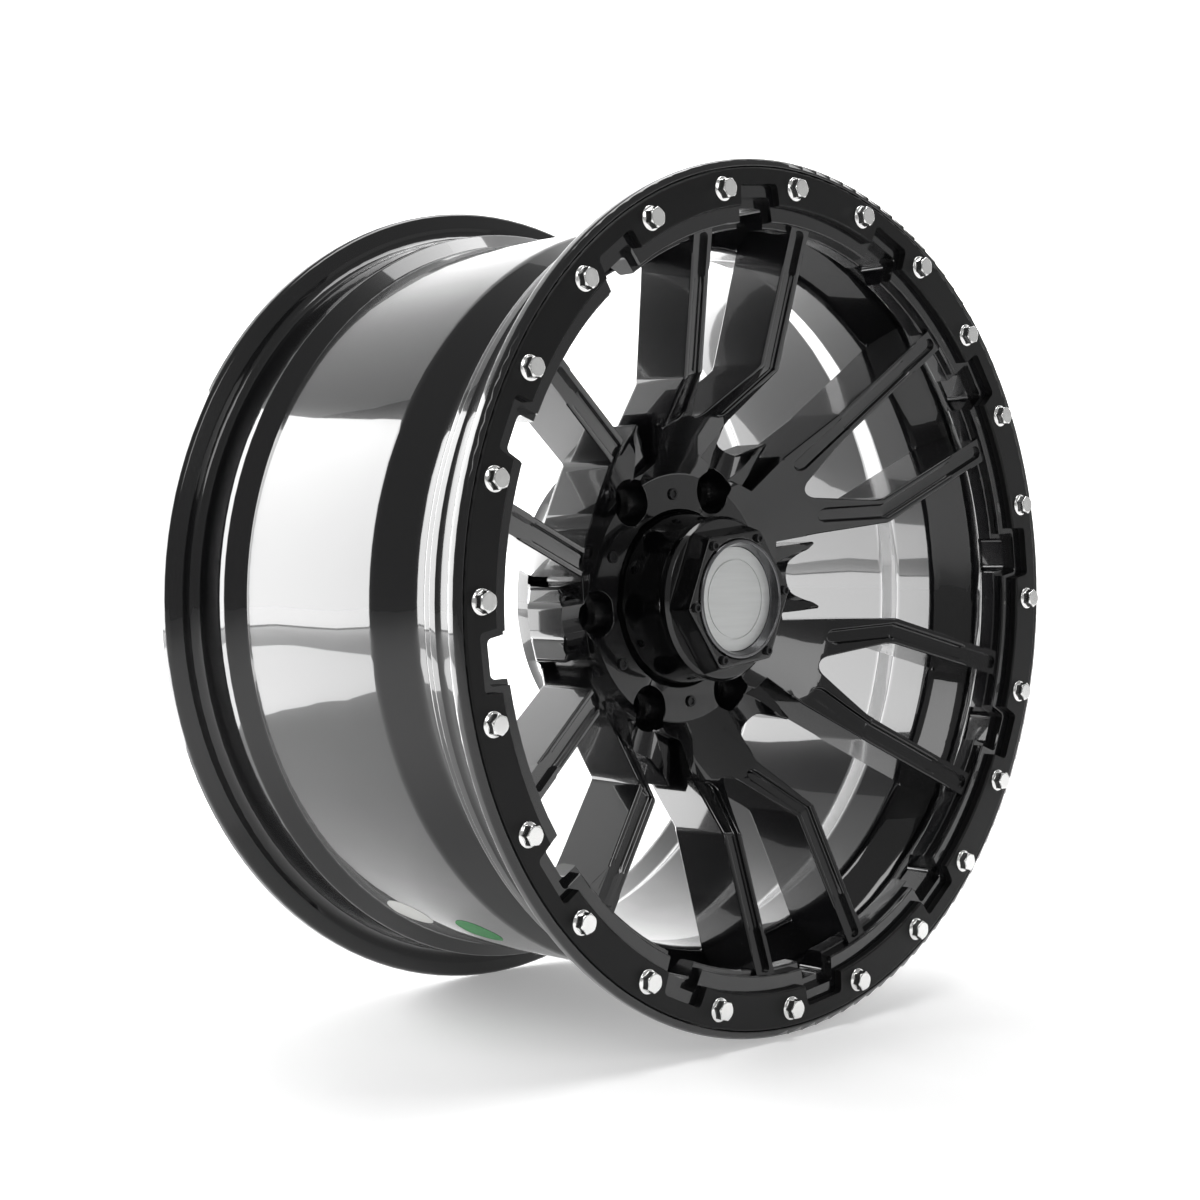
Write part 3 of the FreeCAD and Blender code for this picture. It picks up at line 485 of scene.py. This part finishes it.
@dataclass
class SpokeCasting:
    """The casting with the edges of its arms, horns and lug seats rounded, as a cast wheel's are.

    Args:
        sharpest: Smallest angle between faces that is rounded, in degrees.
        crease: Angle between faces up to which shading runs on, in degrees.
        merge: Distance under which the casting's loose points are one, in metres.
        sliver: Width under which a face is closed up, in metres.
        zones: Where edges are rounded, and by how much.
    """

    sharpest: float = 24.0
    crease: float = 34.0
    merge: float = 0.002 * MM
    sliver: float = 0.03 * MM
    zones: tuple[EdgeZone, ...] = (
        EdgeZone(inner=98.0 * MM, outer=204.0 * MM, deepest=-18.0 * MM, width=1.2 * MM, steps=4),
        EdgeZone(inner=0.0, outer=96.0 * MM, deepest=-35.0 * MM, width=0.5 * MM, steps=4),
    )

    def build(self) -> bpy.types.Object:
        """Copy the casting and round its edges.

        Returns:
            The rounded casting.
        """
        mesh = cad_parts["wheel"].data.copy()
        piece = bpy.data.objects.new("casting", mesh)
        bpy.context.scene.collection.objects.link(piece)
        bpy.ops.object.select_all(action="DESELECT")
        bpy.context.view_layer.objects.active = piece
        piece.select_set(True)
        bpy.ops.mesh.customdata_custom_splitnormals_clear()
        bpy.ops.object.mode_set(mode="EDIT")
        bpy.ops.mesh.select_mode(type="VERT")
        bpy.ops.mesh.select_all(action="SELECT")
        bpy.ops.mesh.remove_doubles(threshold=self.merge)
        bpy.ops.mesh.dissolve_degenerate(threshold=self.sliver)
        bpy.ops.mesh.select_mode(type="EDGE")
        bpy.ops.object.mode_set(mode="OBJECT")
        for zone in self.zones:
            self.round_edges(mesh, zone)
        bpy.ops.object.shade_smooth_by_angle(angle=math.radians(self.crease))
        even = piece.modifiers.new("even_shading", "WEIGHTED_NORMAL")
        even.keep_sharp = True
        bpy.ops.object.modifier_apply(modifier=even.name)
        log.info("casting has %d faces", len(mesh.polygons))
        return piece

    def round_edges(self, mesh: bpy.types.Mesh, zone: EdgeZone) -> None:
        """Round the sharp edges of one zone.

        Args:
            mesh: The casting's mesh, with its object active.
            zone: The zone.
        """
        bpy.ops.object.mode_set(mode="EDIT")
        bpy.ops.mesh.select_all(action="DESELECT")
        bpy.ops.mesh.edges_select_sharp(sharpness=math.radians(self.sharpest))
        bpy.ops.object.mode_set(mode="OBJECT")
        held = [zone.holds(point.co) for point in mesh.vertices]
        picked = [edge.select and all(held[number] for number in edge.vertices) for edge in mesh.edges]
        # Faces and points that stay selected would bring their own edges into the rounding
        mesh.polygons.foreach_set("select", [False] * len(mesh.polygons))
        mesh.vertices.foreach_set("select", [False] * len(mesh.vertices))
        mesh.edges.foreach_set("select", picked)
        bpy.ops.object.mode_set(mode="EDIT")
        bpy.ops.mesh.bevel(
            offset=zone.width,
            segments=zone.steps,
            affect="EDGES",
            clamp_overlap=False,
            loop_slide=False,
        )
        bpy.ops.object.mode_set(mode="OBJECT")
        log.info("%d edges of the casting rounded by %.1f mm", sum(picked), zone.width / MM)

    def dress(self, paints: PaintShelf) -> None:
        """Build the casting, coat it and put it in the place of its node.

        Args:
            paints: Where the finishes come from.
        """
        piece = self.build()
        paints.coat(piece, LACQUER)
        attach(piece, "root")
        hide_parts("wheel")


@dataclass
class WheelNodes:
    """The CAD nodes: they get finishes and softened edges.

    Args:
        edges: Width of the softened edge on each node, in metres.
        sharpest: Smallest angle between faces that is softened, in degrees.
        steps: Segments across a softened edge.
        merge: Distance under which a node's loose points are one, in metres.
    """

    edges: dict[str, float] = field(default_factory=lambda: {
        "ring_bolts": 0.3 * MM,
        "cap_body": 0.4 * MM,
        "cap_crown": 0.6 * MM,
        "cap_screws": 0.15 * MM,
        "hub_screws": 0.15 * MM,
    })
    sharpest: float = 24.0
    steps: int = 2
    merge: float = 0.002 * MM

    def dress(self, paints: PaintShelf) -> None:
        """Coat every CAD node and soften the edges of the nodes listed in edges.

        Args:
            paints: Where the finishes come from.
        """
        for name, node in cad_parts.items():
            paints.coat(node, NODE_FINISHES[name])
            if name in self.edges:
                self.soften(node, self.edges[name])

    def soften(self, node: bpy.types.Object, width: float) -> None:
        """Round the sharp edges of a node a little.

        Args:
            node: The node.
            width: Width of the rounding in metres.
        """
        weld = node.modifiers.new("one_skin", "WELD")
        weld.merge_threshold = self.merge
        bevel = node.modifiers.new("soft_edges", "BEVEL")
        bevel.width = width
        bevel.segments = self.steps
        bevel.limit_method = "ANGLE"
        bevel.angle_limit = math.radians(self.sharpest)
        bevel.use_clamp_overlap = False
        bevel.loop_slide = False
        node.modifiers.new("even_shading", "WEIGHTED_NORMAL")


@dataclass(frozen=True)
class Label:
    """One round label.

    Args:
        name: Name of the piece.
        angle: Place around the barrel, in degrees.
        along: Place along the axis, in metres.
        finish: Paper that it is cut from.
    """

    name: str
    angle: float
    along: float
    finish: Finish


@dataclass
class BarrelLabels:
    """Two plain round paper labels on the outside of the barrel.

    Args:
        radius: Radius of a label in metres.
        thick: Thickness of the paper in metres.
        start: Distance from the axis before a label is laid on the barrel.
        sides: Sides of a label's outline.
        cuts: Cuts along each edge, so that the paper can bend.
        crease: Angle between faces up to which shading runs on, in degrees.
        labels: The labels.
    """

    radius: float = 15.0 * MM
    thick: float = 0.15 * MM
    start: float = 223.5 * MM
    sides: int = 64
    cuts: int = 5
    crease: float = 40.0
    labels: tuple[Label, ...] = (
        Label("label_white", angle=-122.6, along=63.5 * MM, finish=WHITE_PAPER),
        Label("label_green", angle=-119.2, along=14.0 * MM, finish=GREEN_PAPER),
    )

    def build(self, label: Label) -> bpy.types.Object:
        """Lay a label on the barrel.

        Args:
            label: The label.

        Returns:
            Its piece.
        """
        bpy.ops.object.select_all(action="DESELECT")
        bpy.ops.mesh.primitive_circle_add(vertices=self.sides, radius=self.radius, fill_type="TRIFAN")
        piece = bpy.context.object
        piece.name = label.name
        bpy.ops.object.mode_set(mode="EDIT")
        bpy.ops.mesh.select_all(action="SELECT")
        bpy.ops.mesh.subdivide(number_cuts=self.cuts)
        bpy.ops.object.mode_set(mode="OBJECT")
        angle = math.radians(label.angle)
        outward = Vector((math.cos(angle), 0.0, math.sin(angle)))
        centre = outward * self.start + Vector((0.0, label.along, 0.0))
        piece.matrix_world = stand(centre, outward)
        bpy.ops.object.transform_apply(location=True, rotation=True, scale=True)
        lay = piece.modifiers.new("lay_on_barrel", "SHRINKWRAP")
        lay.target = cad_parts["wheel"]
        lay.wrap_method = "NEAREST_SURFACEPOINT"
        lay.wrap_mode = "ABOVE_SURFACE"
        lay.offset = self.thick
        bpy.ops.object.modifier_apply(modifier=lay.name)
        wall = piece.modifiers.new("paper", "SOLIDIFY")
        wall.thickness = self.thick
        wall.offset = INWARD
        bpy.ops.object.modifier_apply(modifier=wall.name)
        bpy.ops.object.shade_smooth_by_angle(angle=math.radians(self.crease))
        log.info("%s laid on the barrel", label.name)
        return piece

    def dress(self, paints: PaintShelf) -> None:
        """Build the labels, coat them and fix them to the wheel.

        Args:
            paints: Where the finishes come from.
        """
        for label in self.labels:
            piece = self.build(label)
            paints.coat(piece, label.finish)
            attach(piece, "root")


@dataclass(frozen=True)
class Panel:
    """One soft light.

    Args:
        name: Name of the light.
        place: Where it stands, in metres.
        aim: The point it faces.
        size: Width and height in metres.
        watts: Power.
    """

    name: str
    place: Xyz
    aim: Xyz
    size: tuple[float, float]
    watts: float


@dataclass
class Studio:
    """Floor, backdrop, lights and camera.

    Args:
        camera_place: Camera position in metres, from the fit to the photograph.
        azimuth: Direction of view, in degrees.
        elevation: Height of the view, in degrees.
        lens: Focal length in millimetres.
        sensor: Sensor width in millimetres.
        nearest: Distance from which the camera sees, in metres.
        floor_z: Height of the floor.
        floor_size: Edge of the floor in metres.
        backdrop_size: Edge of the backdrop in metres.
        floor_glow: Strength of the floor's own light.
        backdrop_away: Distance of the backdrop behind the wheel.
        backdrop_rise: Height of the backdrop's middle.
        backdrop_glow: Strength of the backdrop's own light.
        pale: Colour of floor and backdrop.
        pale_rough: Roughness of floor and backdrop.
        pale_shine: Specular level of floor and backdrop.
        world_level: Strength of the even light from all round.
        world_shown: Strength of the background that is seen and reflected.
        panels: The soft lights.
    """

    camera_place: Xyz = (-0.8560, -0.8619, 0.0161)
    azimuth: float = -43.994
    elevation: float = 0.832
    lens: float = 59.566
    sensor: float = 36.0
    nearest: float = 0.01
    floor_z: float = -0.2485
    floor_size: float = 9.0
    backdrop_size: float = 11.5
    floor_glow: float = 0.3
    backdrop_away: float = 2.6
    backdrop_rise: float = 2.875
    backdrop_glow: float = 0.9
    pale: Colour = (0.86, 0.86, 0.86)
    pale_rough: float = 0.9
    pale_shine: float = 0.1
    world_level: float = 0.05
    world_shown: float = 0.35
    panels: tuple[Panel, ...] = (
        Panel(
            "left_window",
            place=(-1.02, 2.20, 0.60),
            aim=(0.3, 1.35, 0.3),
            size=(2.3, 1.7),
            watts=110.0,
        ),
        Panel(
            "front_right_fill",
            place=(2.0, -1.85, 0.32),
            aim=(0.0, -0.13, 0.0),
            size=(1.55, 1.1),
            watts=0.9,
        ),
        Panel(
            "overhead_strip",
            place=(0.45, -0.35, 2.1),
            aim=(0.0, 0.0, 0.0),
            size=(1.8, 0.8),
            watts=26.0,
        ),
        Panel(
            "front_top",
            place=(-0.65, -2.05, 1.05),
            aim=(0.09, -0.06, -0.04),
            size=(0.7, 0.8),
            watts=7.0,
        ),
        Panel(
            "back_floor",
            place=(-0.05, 0.64, -0.235),
            aim=(-0.05, 0.60, 0.3),
            size=(1.6, 0.9),
            watts=26.0,
        ),
    )

    def build(self) -> None:
        """Set up everything that isn't the object."""
        self.world()
        up = Vector((0.0, 0.0, 1.0))
        ahead = -self.backward()
        ahead.z = 0.0
        ahead.normalize()
        self.pale_sheet("floor", up * self.floor_z, up, self.floor_size, self.floor_glow)
        middle = ahead * self.backdrop_away + up * self.backdrop_rise
        self.pale_sheet("backdrop", middle, -ahead, self.backdrop_size, self.backdrop_glow)
        for panel in self.panels:
            self.light(panel)
        self.camera()

    def backward(self) -> Vector:
        """Direction from the object towards the camera.

        Returns:
            A unit vector.
        """
        turn = math.radians(self.azimuth)
        rise = math.radians(self.elevation)
        level = math.cos(rise)
        return Vector((math.sin(turn) * level, -math.cos(turn) * level, math.sin(rise)))

    def world(self) -> None:
        """Light the scene evenly from all round, before a pale background."""
        world = bpy.data.worlds.new("studio")
        bpy.context.scene.world = world
        world.use_nodes = True
        shade = world.node_tree.nodes["Background"]
        shade.inputs["Color"].default_value = WHITE
        sheet = NodeSheet(world.node_tree)
        rays = ("Is Camera Ray", "Is Glossy Ray", "Is Transmission Ray")
        seen = sum(sheet.add("ShaderNodeLightPath", {}, {}, ray) for ray in rays)
        strength = seen.between(self.world_level, self.world_shown)
        sheet.tree.links.new(strength.socket, shade.inputs["Strength"])
        bpy.context.scene.view_settings.view_transform = "Standard"

    def pale_sheet(self, name: str, place: Vector, facing: Vector, size: float, glow: float) -> None:
        """Add one pale sheet of the set.

        Args:
            name: Name of the sheet.
            place: Its centre.
            facing: Its normal.
            size: Its edge length.
            glow: Strength of its own light.
        """
        bpy.ops.object.select_all(action="DESELECT")
        bpy.ops.mesh.primitive_plane_add(size=size)
        sheet = bpy.context.object
        sheet.name = name
        sheet.matrix_world = stand(place, facing)
        material = bpy.data.materials.new(name)
        material.use_nodes = True
        shader = material.node_tree.nodes["Principled BSDF"]
        shader.inputs["Base Color"].default_value = (*self.pale, 1.0)
        shader.inputs["Roughness"].default_value = self.pale_rough
        shader.inputs["Specular IOR Level"].default_value = self.pale_shine
        shader.inputs["Emission Color"].default_value = WHITE
        shader.inputs["Emission Strength"].default_value = glow
        sheet.data.materials.append(material)

    def light(self, panel: Panel) -> None:
        """Hang one soft light.

        Args:
            panel: The light's place, size and power.
        """
        data = bpy.data.lights.new(panel.name, "AREA")
        data.shape = "RECTANGLE"
        data.size, data.size_y = panel.size
        data.energy = panel.watts
        lamp = bpy.data.objects.new(panel.name, data)
        bpy.context.scene.collection.objects.link(lamp)
        lamp.visible_camera = False
        lamp.location = panel.place
        away = Vector(panel.place) - Vector(panel.aim)
        lamp.rotation_euler = away.to_track_quat("Z", "Y").to_euler()

    def camera(self) -> None:
        """Set up the photograph's view."""
        data = bpy.data.cameras.new("camera")
        data.sensor_width = self.sensor
        data.lens = self.lens
        data.clip_start = self.nearest
        camera = bpy.data.objects.new("camera", data)
        bpy.context.scene.collection.objects.link(camera)
        camera.location = self.camera_place
        camera.rotation_mode = "QUATERNION"
        camera.rotation_quaternion = (-self.backward()).to_track_quat("-Z", "Y")
        bpy.context.scene.camera = camera


def main() -> None:
    """Dress the wheel and set up the studio."""
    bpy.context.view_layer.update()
    paints = PaintShelf()
    BarrelLabels().dress(paints)
    WheelNodes().dress(paints)
    SpokeCasting().dress(paints)
    Studio().build()


if __name__ == "__main__":
    main()
